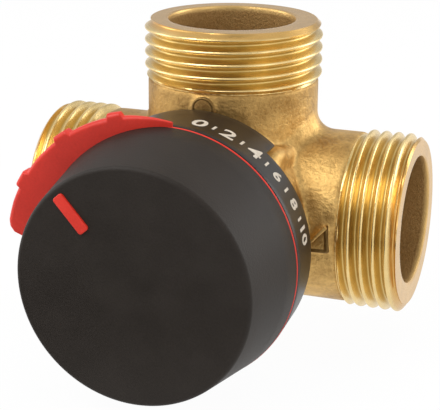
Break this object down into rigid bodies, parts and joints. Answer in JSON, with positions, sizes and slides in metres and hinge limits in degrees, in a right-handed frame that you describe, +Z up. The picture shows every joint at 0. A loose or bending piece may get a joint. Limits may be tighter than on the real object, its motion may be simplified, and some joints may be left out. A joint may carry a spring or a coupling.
{
  "type": "three-way rotary mixing valve",
  "caption": "Brass three-way mixing valve with male threaded ports, a turning slide inside, and a tapered black knob with a red pointer and thumb grip.",
  "frame": {"origin": "point where the axes of the left, right and top ports cross", "axes": "+X along the port run towards the right port, +Z up through the top port, -Y out through the knob"},
  "size_m": [0.072, 0.0669, 0.0594],
  "materials": {
    "cast_brass": "cast, grainy, with turned threads",
    "turned_brass": "machined",
    "bonnet_composite": "glass-filled moulding",
    "shaft_composite": "glass-filled moulding",
    "washer_ptfe": "smooth",
    "seal_rubber": "smooth",
    "screw_steel": "plain",
    "ring_black": "satin with pale print",
    "knob_black": "fine soft-touch grain",
    "knob_red": "satin"
  },
  "bodies": {
    "housing": {"valve_body": "cast_brass", "bonnet": "bonnet_composite", "bonnet_o_ring": "seal_rubber", "scale_ring": "ring_black", "thrust_washer": "washer_ptfe", "bonnet_screw_1": "screw_steel", "bonnet_screw_2": "screw_steel", "bonnet_screw_3": "screw_steel", "bonnet_screw_4": "screw_steel"},
    "knob": {"knob_cover": "knob_black", "knob_core": "knob_red", "shaft": "shaft_composite", "shaft_insert": "turned_brass", "shaft_o_ring_1": "seal_rubber", "shaft_o_ring_2": "seal_rubber", "rotor": "turned_brass"}
  },
  "joints": [
    {"name": "knob_turn", "type": "hinge", "parent": "housing", "child": "knob", "pos_m": [0, 0, 0], "axis": [0, -1, 0], "range_deg": [-45, 45]}
  ]
}
